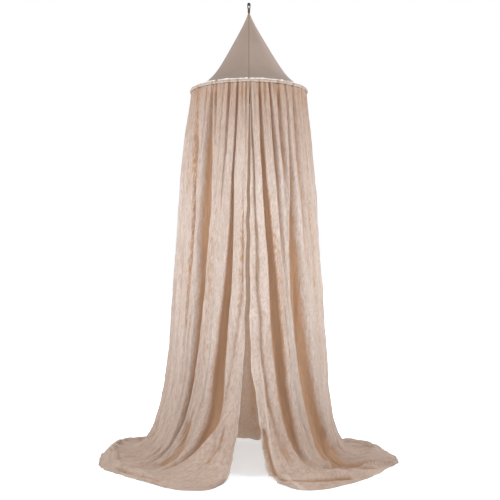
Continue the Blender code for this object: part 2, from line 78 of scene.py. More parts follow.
# Fall lines, round the hoop: a row for each, and the cloth passes smoothly from one to the next.
# foot: where the straight wall would meet the floor. bend: how high the wall begins to turn outwards.
# sweep: how far past the foot the turn ends. lift: height of the roll of cloth on the floor.
# belly: how far the gathers swell out below the casing.
Fall = namedtuple("Fall", "turn foot_x foot_y hem_x hem_y bend sweep lift belly")
FALLS = (
    Fall(-0.4, -0.032, -0.310, -0.095, -0.462, 0.50, 0.12, 0.004, 0.005),
    Fall(2.5, -0.055, -0.315, -0.155, -0.580, 0.50, 0.19, 0.008, 0.005),
    Fall(5.5, -0.085, -0.318, -0.274, -0.566, 0.50, 0.24, 0.014, 0.006),
    Fall(10.7, -0.133, -0.310, -0.417, -0.408, 0.50, 0.24, 0.020, 0.008),
    Fall(18.3, -0.178, -0.295, -0.523, -0.285, 0.50, 0.26, 0.022, 0.010),
    Fall(36.2, -0.245, -0.250, -0.600, -0.166, 0.50, 0.26, 0.028, 0.012),
    Fall(57.0, -0.304, -0.175, -0.630, -0.030, 0.52, 0.26, 0.048, 0.017),
    Fall(90.0, -0.352, 0.030, -0.640, 0.190, 0.62, 0.24, 0.055, 0.022),
    Fall(130.0, -0.285, 0.255, -0.545, 0.430, 0.45, 0.20, 0.040, 0.018),
    Fall(180.0, 0.000, 0.410, 0.000, 0.640, 0.20, 0.06, 0.020, 0.014),
    Fall(230.0, 0.285, 0.250, 0.520, 0.395, 0.30, 0.14, 0.036, 0.014),
    Fall(270.0, 0.350, 0.030, 0.625, 0.140, 0.38, 0.18, 0.050, 0.014),
    Fall(300.0, 0.318, -0.150, 0.628, -0.035, 0.36, 0.15, 0.032, 0.013),
    Fall(316.0, 0.296, -0.215, 0.600, -0.110, 0.42, 0.18, 0.028, 0.012),
    Fall(323.0, 0.250, -0.255, 0.558, -0.187, 0.46, 0.20, 0.026, 0.010),
    Fall(340.0, 0.198, -0.295, 0.471, -0.356, 0.48, 0.18, 0.026, 0.008),
    Fall(350.6, 0.150, -0.312, 0.380, -0.464, 0.50, 0.14, 0.026, 0.006),
    Fall(355.0, 0.100, -0.320, 0.284, -0.556, 0.50, 0.12, 0.026, 0.005),
    Fall(357.5, 0.066, -0.320, 0.185, -0.572, 0.50, 0.10, 0.022, 0.005),
    Fall(359.3, 0.038, -0.310, 0.115, -0.478, 0.50, 0.09, 0.014, 0.005),
)

ROLL_FROM, ROLL_TO = 1.4, 3.0  # steps from which the cloth rises to its lift and at which it is down again

# Sideways shift of each front edge from its straight fall: closer together above, further apart at the floor
EdgeSway = namedtuple("EdgeSway", "step left right")
EDGE_SWAYS = (
    EdgeSway(0.00, 0.000, 0.000),
    EdgeSway(0.25, 0.000, -0.002),
    EdgeSway(0.65, 0.001, -0.014),
    EdgeSway(0.95, 0.003, -0.022),
    EdgeSway(1.10, 0.002, -0.018),
    EdgeSway(1.20, -0.002, -0.004),
    EdgeSway(1.35, -0.008, 0.002),
    EdgeSway(1.60, -0.016, 0.005),
    EdgeSway(1.85, -0.013, 0.006),
    EdgeSway(2.00, -0.007, 0.004),
    EdgeSway(3.00, 0.000, 0.000),
)
SWAY_REACH = 9.0  # degrees round the hoop in which the shift fades

# Valleys between folds: the turns of a valley's steep side, nearest the front, and of its slack side, and its
# depth in metres, at these steps down the cloth. A short row keeps its last turns, and its depth fades.
VALLEY_STEPS = (0.05, 0.25, 0.50, 0.80, 1.10, 1.35, 1.55, 1.75, 2.00)
DEPTH_AT_CASING = 0.4  # share of the first depth
HALF_FADED, FADED = 0.5, 1.1  # steps past the last one
Valley = namedtuple("Valley", "near far depths")
FRONT_VALLEYS = (
    Valley(
        near=(1.6, 0.8, 0.8, 0.8, 0.8, 0.8),
        far=(3.2, 1.6, 1.6, 1.6, 1.6, 1.6),
        depths=(0.008, 0.003, 0.000, 0.000, 0.000, 0.000),
    ),
    Valley(
        near=(5.0, 3.4, 1.2, 0.9, 4.7, 7.6),
        far=(6.2, 4.4, 2.5, 3.6, 6.5, 9.4),
        depths=(0.004, 0.001, 0.006, 0.011, 0.010, 0.008),
    ),
    Valley(
        near=(9.5, 8.9, 8.5, 8.0, 8.8, 8.5, 12.1, 14.8, 16.0),
        far=(11.6, 10.3, 10.5, 12.8, 16.2, 13.9, 14.8, 17.5, 19.0),
        depths=(0.015, 0.024, 0.030, 0.042, 0.050, 0.046, 0.030, 0.016, 0.004),
    ),
    Valley(
        near=(17.3, 17.2, 17.2, 17.6, 18.5, 19.0),
        far=(20.2, 19.0, 18.6, 19.0, 20.5, 21.5),
        depths=(0.015, 0.013, 0.002, 0.001, 0.003, 0.006),
    ),
    Valley(
        near=(24.0, 23.4, 23.0, 23.4, 24.0, 25.0),
        far=(25.2, 24.8, 24.6, 25.0, 26.0, 27.0),
        depths=(0.006, 0.004, 0.001, 0.001, 0.003, 0.006),
    ),
    Valley(
        near=(31.2, 27.8, 27.8, 27.8, 27.8, 28.0),
        far=(33.2, 28.9, 28.9, 28.9, 29.5, 31.0),
        depths=(0.013, 0.003, 0.000, 0.000, 0.003, 0.006),
    ),
    Valley(
        near=(35.8, 32.0, 28.9, 29.4, 33.0, 33.4, 34.3, 33.6, 34.0),
        far=(38.2, 40.4, 40.0, 36.9, 38.0, 38.1, 37.2, 37.2, 38.0),
        depths=(0.016, 0.040, 0.048, 0.044, 0.036, 0.034, 0.026, 0.016, 0.006),
    ),
    Valley(
        near=(43.4, 42.6, 42.4, 42.0, 42.0, 44.0),
        far=(45.0, 44.4, 44.0, 44.0, 44.0, 47.0),
        depths=(0.007, 0.004, 0.001, 0.003, 0.008, 0.008),
    ),
    Valley(
        near=(56.2, 47.4, 46.0, 46.8, 48.0, 50.0),
        far=(60.4, 54.0, 49.0, 49.8, 51.0, 55.0),
        depths=(0.010, 0.024, 0.022, 0.012, 0.008, 0.010),
    ),
    Valley(
        near=(64.0, 61.0, 59.0, 59.0, 59.0, 60.0),
        far=(68.0, 65.0, 64.0, 64.0, 64.0, 66.0),
        depths=(0.008, 0.010, 0.014, 0.014, 0.014, 0.014),
    ),
    Valley(
        near=(73.0, 72.0, 71.0, 71.0, 71.0, 72.0),
        far=(77.0, 77.5, 77.0, 77.0, 78.0, 78.0),
        depths=(0.010, 0.016, 0.020, 0.022, 0.022, 0.020),
    ),
    Valley(
        near=(283.0, 283.0, 281.0, 280.0, 280.0, 281.0),
        far=(279.0, 278.0, 275.0, 274.0, 274.0, 275.0),
        depths=(0.010, 0.016, 0.020, 0.020, 0.020, 0.018),
    ),
    Valley(
        near=(291.0, 291.0, 290.0, 289.0, 289.0, 291.0),
        far=(288.0, 287.0, 286.0, 285.0, 285.0, 287.0),
        depths=(0.009, 0.012, 0.014, 0.014, 0.014, 0.012),
    ),
    Valley(
        near=(299.0, 302.0, 301.0, 298.0, 298.0, 300.0),
        far=(296.4, 300.0, 298.0, 295.0, 294.0, 296.0),
        depths=(0.012, 0.012, 0.005, 0.006, 0.008, 0.010),
    ),
    Valley(
        near=(307.0, 308.0, 307.0, 305.0, 306.0, 308.0),
        far=(305.4, 306.0, 304.5, 301.0, 302.0, 304.0),
        depths=(0.008, 0.005, 0.006, 0.010, 0.010, 0.006),
    ),
    Valley(
        near=(314.9, 318.4, 317.4, 317.0, 316.0, 316.0),
        far=(311.7, 312.2, 312.4, 311.0, 311.0, 311.0),
        depths=(0.016, 0.024, 0.018, 0.002, 0.000, 0.000),
    ),
    Valley(
        near=(322.9, 325.1, 329.8, 334.2, 331.0, 329.4, 330.8, 333.0, 333.0),
        far=(321.2, 322.4, 323.4, 321.6, 318.0, 315.7, 298.0, 303.0, 306.0),
        depths=(0.012, 0.020, 0.040, 0.055, 0.060, 0.058, 0.056, 0.044, 0.026),
    ),
    Valley(
        near=(333.2, 333.8, 333.8, 336.0, 336.0, 336.0),
        far=(330.0, 329.6, 330.6, 334.0, 334.0, 334.0),
        depths=(0.018, 0.024, 0.002, 0.000, 0.000, 0.000),
    ),
    Valley(
        near=(340.8, 342.0, 341.2, 340.4, 340.0, 339.0),
        far=(339.2, 338.2, 337.8, 338.0, 338.0, 336.0),
        depths=(0.015, 0.026, 0.018, 0.001, 0.003, 0.008),
    ),
    Valley(
        near=(346.6, 346.6, 346.0, 343.0, 342.0, 341.0),
        far=(345.4, 345.2, 344.8, 341.4, 340.0, 339.0),
        depths=(0.006, 0.002, 0.001, 0.003, 0.006, 0.004),
    ),
    Valley(
        near=(351.5, 352.6, 352.8, 353.0, 352.2, 351.9, 350.6, 347.6, 346.0),
        far=(349.3, 349.6, 349.2, 346.8, 344.6, 343.9, 346.6, 342.8, 341.0),
        depths=(0.016, 0.030, 0.034, 0.042, 0.046, 0.040, 0.026, 0.012, 0.004),
    ),
    Valley(
        near=(355.8, 355.8, 355.4, 355.0, 354.4, 353.0),
        far=(354.6, 354.8, 354.4, 354.0, 353.2, 352.0),
        depths=(0.005, 0.001, 0.001, 0.001, 0.003, 0.002),
    ),
    Valley(
        near=(359.0, 358.6, 357.9, 357.8, 357.2, 356.4, 354.9, 352.8, 352.0),
        far=(358.0, 357.2, 356.6, 355.8, 355.8, 354.6, 352.2, 351.2, 350.8),
        depths=(0.012, 0.018, 0.020, 0.022, 0.018, 0.018, 0.016, 0.010, 0.004),
    ),
)

# Creases of the cloth on the floor: a row for each, with its depth, below 0 where it stands up, its half
# width, and its path in turns and steps
Crease = namedtuple("Crease", "depth width path")
CREASES = (
    Crease(0.017, 0.008, (
        (358.6, 1.41), (358.0, 1.47), (357.9, 1.55), (357.6, 1.65), (357.5, 1.79), (357.4, 1.97),
        (357.7, 2.38), (355.9, 2.44), (354.0, 2.49), (351.5, 2.55), (348.5, 2.60), (345.5, 2.66),
    )),
    Crease(-0.008, 0.013, (
        (357.2, 1.5), (356.4, 1.8), (356.2, 2.1), (354.5, 2.25), (350.0, 2.3), (345.0, 2.35),
    )),
    Crease(-0.012, 0.008, ((337.6, 1.72), (322.0, 1.81), (321.6, 2.16), (305.8, 2.84))),
    Crease(0.008, 0.008, ((340.8, 1.77), (333.0, 1.85), (329.3, 1.99), (323.4, 2.60))),
    Crease(0.007, 0.006, ((307.9, 2.02), (305.2, 2.39), (286.2, 2.83))),
    Crease(0.008, 0.007, ((322.0, 1.75), (314.7, 1.81), (308.4, 1.99))),
    Crease(-0.006, 0.010, ((350.0, 2.16), (345.1, 2.47), (335.6, 2.65))),
    Crease(0.008, 0.006, ((289.1, 1.47), (288.1, 1.54), (288.7, 1.64))),
    Crease(0.008, 0.006, ((16.6, 1.71), (16.5, 1.77), (16.1, 1.82))),
    Crease(0.009, 0.016, (
        (28.5, 1.38), (27.4, 1.45), (24.3, 1.53), (22.2, 1.62), (24.3, 1.69), (23.7, 1.75),
    )),
    Crease(0.009, 0.006, ((5.1, 1.37), (5.2, 1.44), (5.1, 1.51), (6.0, 1.56), (6.5, 1.65))),
    Crease(0.006, 0.005, ((6.8, 1.50), (7.0, 1.57), (7.0, 1.65))),
    Crease(0.010, 0.009, ((70.7, 1.48), (70.1, 1.52), (74.7, 1.58), (123.1, 1.97))),
    Crease(0.006, 0.007, ((44.6, 2.09), (55.0, 1.89), (56.1, 1.78))),
    Crease(0.006, 0.006, ((31.0, 1.97), (30.0, 1.82), (22.7, 1.73))),
    Crease(0.006, 0.006, ((16.6, 2.59), (17.0, 1.97))),
    Crease(0.006, 0.007, ((45.0, 1.60), (47.2, 1.71), (47.2, 1.82))),
    Crease(-0.006, 0.010, ((12.0, 2.2), (24.0, 2.35), (40.0, 2.3))),
    Crease(0.006, 0.008, ((9.0, 2.45), (14.0, 2.6), (26.0, 2.55))),
    Crease(0.005, 0.007, ((52.0, 2.45), (64.0, 2.35), (74.0, 2.45))),
)
CREASES_BELOW = 1.2  # the step above which there are none
CREASE_POINTS = 10  # along each part of a path
CREASE_RELIEF = 1.4  # built depth as a share of the stated one

# Patches of cloth that are crushed into fine cross creases
CrinkledZone = namedtuple("CrinkledZone", "turn half_turn step half_step")
CRINKLED_ZONES = (
    CrinkledZone(56.0, 6.0, 0.25, 0.22),
    CrinkledZone(49.0, 5.0, 0.70, 0.35),
    CrinkledZone(2.5, 2.0, 0.62, 0.25),
    CrinkledZone(302.0, 5.0, 0.60, 0.45),
    CrinkledZone(346.0, 5.0, 0.70, 0.35),
    CrinkledZone(24.0, 5.0, 0.75, 0.40),
)

# Flanks of a valley
STEEP_SIDE = 0.50  # degrees
STEEP_LEAST, STEEP_MOST = 0.12, 0.5  # shares of the valley's width
SLACK_SIDE = 0.36  # share of the valley's width
SLACK_RISE = 0.35  # share of its depth that a valley loses towards its slack side

# Valleys at the back, which the photograph doesn't show: alike, but for waves over their count and stations
BACK_VALLEYS = 18
BACK_DEPTHS = (0.012, 0.026, 0.032, 0.034, 0.034, 0.028)
BACK_WIDTH = 5.0  # degrees
BACK_MARGIN = 2  # degrees from the front's last valley on either side
Wave = namedtuple("Wave", "height beat drift")
BACK_SPACING = Wave(0.25, 1.9, 0)
BACK_SWAY = Wave(1.2, 2.7, 1.1)
BACK_WIDENING = Wave(0.3, 1.3, 1)
BACK_DEEPENING = Wave(0.45, 2.3, 0)

# Grid of the curtain's mesh
FRONT_STEP = 0.52  # degrees between columns at the front
BACK_STEP = 1.75
FRONT_TURNS = (80.0, 280.0)  # the front is outside these turns
ROWS = ((0.0, 0.06, 16), (0.06, 1.0, 100), (1.0, 2.0, 50), (2.0, 3.0, 58))  # from, to, rows
HEM_STEP = 3.0

# Soft noise over a grid: its size, the length of a wave across it, waves to a step or radian, and its seed
Ripple = namedtuple("Ripple", "size length waves seed")
NOISE_CELLS = 257
STRAY = (Ripple(0.7, 9, 3.1, 11), Ripple(0.35, 4, 9, 12))  # degrees that the valleys wander
PUCKERS = (Ripple(1, 1.3, 6, 21), Ripple(0.5, 0.7, 9, 22))
CRUMPLE = (Ripple(0.0016, 2.6, 13, 31), Ripple(0.0010, 1.2, 31, 32))
CRUSHED = (Ripple(0.0022, 2.0, 40, 33),)
SCALLOPS = (Ripple(1, 3.1, 0, 72), Ripple(0.5, 1.2, 0, 73))
CASING_PUCKERS = (Ripple(1, 3.1, 1.5, 51), Ripple(0.5, 1.6, 1, 52))
FRILL_SWAY = (Ripple(0.0016, 5.2, 0, 61), Ripple(0.0008, 2.3, 0, 62))
FRILL_TOP = (Ripple(0.0016, 7.0, 0, 63),)
FRILL_FOLDS = (Ripple(1, 16, 0, 64),)

# The same for the cloth on the floor, in waves to a metre along X and Y
FloorRipple = namedtuple("FloorRipple", "size x_waves y_waves seed")
FLOOR_CRUMPLE = (FloorRipple(0.0035, 14, 22, 41), FloorRipple(0.0018, 34, 40, 42))
FLOOR_PHASE = 50

# Steps over which these come in
STRAY_STEPS = (0.05, 0.3)
CRUMPLE_STEPS = (0.0, 0.2)
FLOOR_STEPS = (1.7, 2.3)
EDGE_STEPS = (0.2, 0.5)
SCALLOP_STEPS = (2.5, 3.0)

PUCKER_DEPTH = 0.0022
PUCKER_REACH = 0.07  # step at which the puckers below the casing have faded
EDGE_WOBBLE, EDGE_WAVES, EDGE_SEED = 0.0030, 17, 71  # sideways, of the front edges
HEM_WOBBLE = 0.0035  # in and out, of the hem

# What counts as a whole fold in the attribute that sets the cloth's painted shade
DEEP_FOLD = 0.030  # depth of a valley
CREASE_SHADE_DEPTH = 0.016  # depth of a crease
PUCKER_SHADE = 0.38  # share that a pucker of middle height has

# Cone of four gores, hollowed between its tip and the hoop
GORES = ("cone_gore_front_left", "cone_gore_back_left", "cone_gore_back_right", "cone_gore_front_right")
CONE_TIP_RADIUS = 0.0050
CONE_BASE_RADIUS = 0.2408
CONE_BASE_HEIGHT = CASING_OUTER + 0.0014
CONE_STRAIGHT = 0.775  # the straight flank's share of the base radius: the rest is in the flare at the hoop
CONE_LEAN = 0.03  # how much of that share the left flank lacks and the right one gains
CONE_FLARE = 8
CONE_SECTION_POWER = 1.55  # 2 is round and 1 is square, with its corners on the seams
CONE_PINCH = 0.0072  # how far the cloth between the tip and the hoop is drawn in
PINCH_AT_HOOP, PINCH_GAIN = 0.55, 0.7  # its shares: near the hoop, and how much more near the tip
PINCH_POWER = 4
CONE_ROWS, CONE_COLUMNS = 90, 48
CONE_CROWDING = 1.3  # above 1, the rows stand closer near the hoop
SEAM_DEPTH, SEAM_WIDTH = 0.0009, 0.0016
ALLOWANCE_HEIGHT, ALLOWANCE_PLACE, ALLOWANCE_WIDTH = 0.0004, 0.005, 0.003  # the turned cloth beside a seam

# Casing and frill
CASING_AROUND, CASING_SIDES = 720, 18
CASING_INSET = 0.0002
CASING_PUCKER = 0.0011
CASING_DEEP_FOLD = 0.016
CASING_PUCKER_SHADE = 0.35
FRILL_AROUND, FRILL_ROWS = 1080, 7
FRILL_OUTSET = 0.0002
FRILL_ROOT = 0.0012  # how far it starts below the solid's foot
FRILL_LOWERED = 0.0016  # how much lower than the solid it is
FRILL_FOLD_RANGE = (0.70, 0.9)

# Hanging loop: a doubled tape, from its top over the peg down to its stitched end in the cone's tip
LoopRow = namedtuple("LoopRow", "drop half_width tape")
LOOP = (
    LoopRow(drop=-0.0058, half_width=0.0000, tape=0.0036),
    LoopRow(drop=-0.0042, half_width=0.0040, tape=0.0036),
    LoopRow(drop=0.0002, half_width=0.0054, tape=0.0036),
    LoopRow(drop=0.0065, half_width=0.0052, tape=0.0044),
    LoopRow(drop=0.0125, half_width=0.0042, tape=0.0052),
    LoopRow(drop=0.0180, half_width=0.0029, tape=0.0058),
    LoopRow(drop=0.0260, half_width=0.0027, tape=0.0056),
    LoopRow(drop=0.0340, half_width=0.0025, tape=0.0052),
    LoopRow(drop=0.0400, half_width=0.0018, tape=0.0036),
    LoopRow(drop=0.0470, half_width=0.0017, tape=0.0034),
    LoopRow(drop=0.0500, half_width=0.0000, tape=0.0024),
)
LOOP_STEPS = 8  # from each row to the next
TAPE_DEPTH = 0.0056
TAPE_SIDES = 20
TAPE_SQUARENESS = 0.6  # 1 is an oval and 0 an oblong
TAPE_FULLNESS = 0.94


# Meshes


def add_mesh(name, points, faces, material):
    mesh = bpy.data.meshes.new(name)
    mesh.from_pydata([tuple(point) for point in points], [], [tuple(face) for face in faces])
    mesh.validate()
    mesh.shade_smooth()
    mesh.materials.append(material)
    thing = bpy.data.objects.new(name, mesh)
    bpy.context.scene.collection.objects.link(thing)
    return thing


def grid_faces(rows, columns, close_rows=False, close_columns=False):
    """Quads over a grid of points that is stored row by row."""
    row = np.arange(rows if close_rows else rows - 1)[:, None]
    column = np.arange(columns if close_columns else columns - 1)[None]
    below, beside = (row + 1) % rows, (column + 1) % columns
    corners = ((row, column), (row, beside), (below, beside), (below, column))
    return np.stack([(i * columns + j).ravel() for i, j in corners], axis=1)


def add_grid(name, points, material, close_rows=False, close_columns=False, flip=False):
    """Mesh over a grid of points, rows by columns by 3."""
    rows, columns, _ = points.shape
    faces = grid_faces(rows, columns, close_rows, close_columns)
    if flip:
        faces = faces[:, ::-1]
    return add_mesh(name, points.reshape(-1, 3), faces.tolist(), material)


def fit(piece, node):
    """Puts a piece in its solid's place on the part's only body."""
    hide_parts(node)
    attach(piece, "root")


def set_values(thing, name, values):
    """Stores a number for each point, which the material reads by its name."""
    layer = thing.data.attributes.new(name, "FLOAT", "POINT")
    layer.data.foreach_set("value", np.ascontiguousarray(values, dtype=np.float32).ravel())


def set_vectors(thing, name, values):
    layer = thing.data.attributes.new(name, "FLOAT_VECTOR", "POINT")
    layer.data.foreach_set("vector", np.ascontiguousarray(values, dtype=np.float32).ravel())


def grid_normals(points):
    """Unit normals of a grid of points, outwards where its rows run down and its columns run clockwise."""
    across = np.gradient(points, axis=1)
    down = np.gradient(points, axis=0)
    normals = np.cross(across, down)
    return normals / np.maximum(np.linalg.norm(normals, axis=2, keepdims=True), 1e-12)


def round_the_hoop(turns, radius, height):
    """Points at turns round the peg's axis."""
    angles = np.radians(turns)
    x = -radius * np.sin(angles)
    y = -radius * np.cos(angles)
    return np.stack([x, y, height + np.zeros_like(x)], axis=-1)


def soft_noise(across, down, seed):
    """Smooth noise of about -1 to 1, with one wave to a unit either way."""
    numbers = np.random.default_rng(seed).uniform(-1, 1, (NOISE_CELLS, NOISE_CELLS))
    a, d = np.floor(across).astype(int), np.floor(down).astype(int)
    u, v = across - a, down - d
    u, v = u * u * (3 - 2 * u), v * v * (3 - 2 * v)
    a0, a1, d0, d1 = (cell % NOISE_CELLS for cell in (a, a + 1, d, d + 1))
    above = numbers[d0, a0] * (1 - u) + numbers[d0, a1] * u
    below = numbers[d1, a0] * (1 - u) + numbers[d1, a1] * u
    return above * (1 - v) + below * v


def rolling(across, down, ripples):
    return sum(ripple.size * soft_noise(across / ripple.length, down * ripple.waves, ripple.seed)
               for ripple in ripples)


def ease(values, low, high):
    """0 below low, 1 above high, and smooth between."""
    share = np.clip((values - low) / (high - low), 0, 1)
    return share * share * (3 - 2 * share)


# Curtain


def between_falls(turns, column):
    """A column of FALLS at each turn, on a smooth curve through the rows."""
    values = np.array([getattr(fall, column) for fall in FALLS])
    place = np.interp(turns, [fall.turn for fall in FALLS], np.arange(len(FALLS)))
    row = np.clip(place.astype(int), 0, len(FALLS) - 2)
    part = place - row
    slopes = np.gradient(values)
    start, end = values[row], values[row + 1]
    eased = part * part * (3 - 2 * part)
    lean = part * (1 - part) * ((1 - part) * slopes[row] - part * slopes[row + 1])
    return start + (end - start) * eased + lean


def cloth_without_folds(turns, down):
    """Points of the smooth cloth at turns and steps that are grids of one shape."""
    gathered = round_the_hoop(turns, GATHER_RADIUS, HOOP_Z - CURTAIN_TOP)
    ground = FLOOR_Z + CLOTH_THICKNESS + np.zeros_like(turns)
    foot = np.stack([between_falls(turns, "foot_x"), between_falls(turns, "foot_y"), ground], axis=-1)
    hem = np.stack([between_falls(turns, "hem_x"), between_falls(turns, "hem_y"), ground], axis=-1)
    bend = between_falls(turns, "bend")[..., None]
    sweep = between_falls(turns, "sweep")[..., None]
    wall_end = foot + (gathered - foot) * bend / (gathered[..., 2:] - foot[..., 2:])
    floor_start = foot + (hem - foot) * sweep / np.linalg.norm(hem - foot, axis=-1, keepdims=True)
    wall, turn, floor = (np.clip(down - stretch, 0, 1)[..., None] for stretch in (0, 1, 2))
    points = (1 - turn) ** 2 * wall_end + 2 * turn * (1 - turn) * foot + turn**2 * floor_start
    points = points + (1 - wall) * (gathered - wall_end) + floor * (hem - floor_start)
    belly = between_falls(turns, "belly") * np.sin(np.pi / 2 * np.clip(down / BELLY_STEP, 0, 1))
    points = points + (belly * (1 - turn[..., 0]))[..., None] * gathered * (1, 1, 0) / GATHER_RADIUS
    roll = np.sin(np.pi * np.clip((down - ROLL_FROM) / (ROLL_TO - ROLL_FROM), 0, 1)) ** 2
    points[..., 2] += between_falls(turns, "lift") * roll
    steps = [sway.step for sway in EDGE_SWAYS]
    near_left = np.clip(1 - (turns - FALLS[0].turn) / SWAY_REACH, 0, 1) ** 2
    near_right = np.clip(1 - (FALLS[-1].turn - turns) / SWAY_REACH, 0, 1) ** 2
    points[..., 0] += near_left * np.interp(down, steps, [sway.left for sway in EDGE_SWAYS])
    points[..., 0] += near_right * np.interp(down, steps, [sway.right for sway in EDGE_SWAYS])
    return points


def along(wave, count, station=0):
    return wave.height * math.sin(wave.beat * count + wave.drift * station)


def back_valley(count, first, last):
    """One of the valleys that are spread between these turns, at its stations down the cloth."""
    place = first + (last - first) * (count + along(BACK_SPACING, count)) / (BACK_VALLEYS + 1)
    away_from_front = -1 if place > 180 else 1
    near, far = [], []
    for station in range(len(BACK_DEPTHS)):
        middle = place + along(BACK_SWAY, count, station)
        half = BACK_WIDTH / 2 * (1 + along(BACK_WIDENING, count, station)) * away_from_front
        near.append(middle - half)
        far.append(middle + half)
    deepened = 1 + along(BACK_DEEPENING, count)
    return Valley(near, far, [depth * deepened for depth in BACK_DEPTHS])


def all_valleys():
    left = [valley for valley in FRONT_VALLEYS if valley.near[0] < 180]
    right = [valley for valley in FRONT_VALLEYS if valley.near[0] > 180]
    first, last = left[-1].near[0] + BACK_MARGIN, right[0].near[0] - BACK_MARGIN
    back = [back_valley(count, first, last) for count in range(1, BACK_VALLEYS + 1)]
    return [*left, *back, *right]


def valley_depth(turns, down, valleys):
    """How far the cloth lies behind its outer face."""
    total = np.zeros_like(turns)
    for valley in valleys:
        steps = VALLEY_STEPS[:len(valley.depths)]
        near = np.interp(down, steps, valley.near)
        far = np.interp(down, steps, valley.far)
        depths = (DEPTH_AT_CASING * valley.depths[0], *valley.depths, valley.depths[-1] / 2, 0)
        depth = np.interp(down, (0, *steps, steps[-1] + HALF_FADED, steps[-1] + FADED), depths)
        width = far - near
        across = (turns - near) / width
        steep = np.clip(STEEP_SIDE / abs(width), STEEP_LEAST, STEEP_MOST)
        into = ease(across, -steep, steep)
        out = 1 - ease(across, 1 - SLACK_SIDE, 1 + SLACK_SIDE)
        total += depth * into * out * (1 - SLACK_RISE * np.clip(across, 0, 1))
    return total


def crinkled_zones(turns, down):
    """1 where the cloth is crushed into fine cross creases, and 0 elsewhere."""
    total = np.zeros_like(turns)
    for zone in CRINKLED_ZONES:
        away = ((turns - zone.turn) / zone.half_turn) ** 2 + ((down - zone.step) / zone.half_step) ** 2
        total += np.exp(-away)
    return np.minimum(total, 1)


def crease_depth(smooth, down):
    """Troughs, and ridges below 0, along the paths of CREASES over the smooth cloth."""
    total = np.zeros_like(down)
    low = np.where(down > CREASES_BELOW)
    for crease in CREASES:
        knots = np.array(crease.path)
        places = np.linspace(0, len(knots) - 1, CREASE_POINTS * (len(knots) - 1) + 1)
        turns, steps = (np.interp(places, np.arange(len(knots)), knots[:, side]) for side in (0, 1))
        path = cloth_without_folds(turns[None], steps[None])[0]
        away = np.min([np.sum((smooth[low] - place) ** 2, axis=1) for place in path], axis=0)
        total[low] += CREASE_RELIEF * crease.depth * np.exp(-away / crease.width**2)
    return total


def crumple_depth(turns, down, smooth):
    """Fine unevenness of the cloth where it hangs, and where it lies on the floor."""
    hanging = rolling(turns, down, CRUMPLE) + crinkled_zones(turns, down) * rolling(turns, down, CRUSHED)
    lying = np.zeros_like(turns)
    for ripple in FLOOR_CRUMPLE:
        x = smooth[..., 0] * ripple.x_waves + FLOOR_PHASE
        y = smooth[..., 1] * ripple.y_waves + FLOOR_PHASE
        lying += ripple.size * soft_noise(x, y, ripple.seed)
    return hanging * ease(down, *CRUMPLE_STEPS) + lying * ease(down, *FLOOR_STEPS)


def loosen_edges(points, turns, down):
    """Lets the front edges wobble sideways and the hem run in scallops."""
    wobble = EDGE_WOBBLE * soft_noise(down * EDGE_WAVES, 0, EDGE_SEED) * ease(down, *EDGE_STEPS)
    from_edge = np.minimum(turns - FALLS[0].turn, FALLS[-1].turn - turns)
    points[..., 0] += wobble * np.exp(-from_edge)
    scallops = HEM_WOBBLE * rolling(turns, 0, SCALLOPS) * ease(down, *SCALLOP_STEPS)
    outwards = points[..., :2] / np.linalg.norm(points[..., :2], axis=-1, keepdims=True)
    points[..., :2] += outwards * scallops[..., None]


def curtain_turns():
    low, high = FRONT_TURNS
    left = np.arange(FALLS[0].turn, low, FRONT_STEP)
    back = np.arange(low, high, BACK_STEP)
    right = np.linspace(high, FALLS[-1].turn, int((FALLS[-1].turn - high) / FRONT_STEP) + 1)
    return np.concatenate([left, back, right])


def curtain_points():
    """Turns, steps and points of the curtain's grid, and how far each point is in a fold, which sets its
    painted shade.
    """
    stretches = [np.linspace(start, end, count, endpoint=False) for start, end, count in ROWS]
    turns, down = np.meshgrid(curtain_turns(), np.concatenate([*stretches, [HEM_STEP]]))
    smooth = cloth_without_folds(turns, down)
    strayed = turns + rolling(turns, down, STRAY) * ease(down, *STRAY_STEPS)
    puckers = rolling(turns, down, PUCKERS)
    depth = valley_depth(strayed, down, all_valleys())
    depth += PUCKER_DEPTH * puckers * (1 - ease(down, 0, PUCKER_REACH))
    depth += crumple_depth(turns, down, smooth)
    creases = crease_depth(smooth, down)
    points = smooth - grid_normals(smooth) * (depth + creases)[..., None]
    points[..., 2] = np.maximum(points[..., 2], FLOOR_Z + CLOTH_THICKNESS)
    loosen_edges(points, turns, down)
    # painted shade of the gathers just below the casing, darkest in the deeper puckers
    gathers = PUCKER_SHADE * (1 + puckers) * (1 - ease(down, 0, 2 * PUCKER_REACH))
    return turns, down, points, depth / DEEP_FOLD + creases / CREASE_SHADE_DEPTH + gathers


def add_curtain(material):
    turns, down, points, fold = curtain_points()
    curtain = add_grid("curtain_cloth", points, material)
    # the fold attribute sets the painted shade in the valleys, creases and gathers
    set_values(curtain, "fold", np.clip(fold, 0, 1))
    set_values(curtain, "down", down)
    set_values(curtain, "crushed", crinkled_zones(turns, down))
    across = CLOTH_WIDTH * (turns - FALLS[0].turn) / (FALLS[-1].turn - FALLS[0].turn)
    fallen = np.cumsum(np.linalg.norm(np.diff(points, axis=0, prepend=points[:1]), axis=2), axis=0)
    length = np.median(fallen, axis=1)[:, None] + 0 * across
    set_vectors(curtain, "cloth_place", np.stack([across, length, 0 * across], axis=-1))
    set_values(curtain, "left_edge", across)
    set_values(curtain, "right_edge", CLOTH_WIDTH - across)
    set_values(curtain, "hem", length[-1] - length)
    fit(curtain, "curtain")


# Cone


